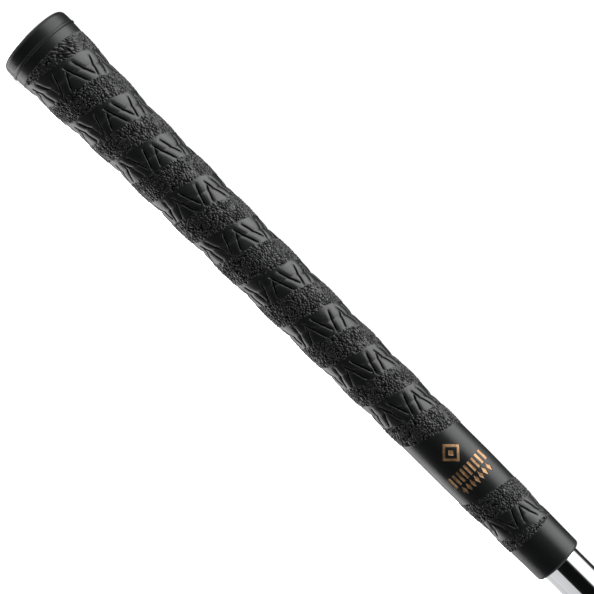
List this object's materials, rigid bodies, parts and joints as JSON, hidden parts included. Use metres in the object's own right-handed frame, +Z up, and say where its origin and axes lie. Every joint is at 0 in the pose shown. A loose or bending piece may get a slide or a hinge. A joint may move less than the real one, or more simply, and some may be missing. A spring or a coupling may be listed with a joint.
{
  "type": "golf grip",
  "caption": "Wrap-style moulded rubber golf grip with domed vented butt cap, bonded over tape on a chromed steel shaft section.",
  "frame": {"origin": "centre of the vent hole's mouth on the butt end, on the shaft's axis", "axes": "+X along the shaft from the butt end towards the club head, +Z up, the moulded mark faces -Y"},
  "size_m": [0.3, 0.0298, 0.0298],
  "materials": {
    "sleeve_rubber": "satin, pebbled ridges and smooth grooved bands",
    "cap_rubber": "satin, slightly glossier than the sleeve",
    "gold_paint": "metallic gold paint fill",
    "tape": "matte paper masking tape with adhesive on both faces",
    "chromed_steel": "polished"
  },
  "bodies": {
    "root": {"grip_sleeve": "sleeve_rubber", "butt_cap": "cap_rubber", "mark_fill": "gold_paint", "grip_tape": "tape", "shaft_tube": "chromed_steel"}
  },
  "joints": []
}
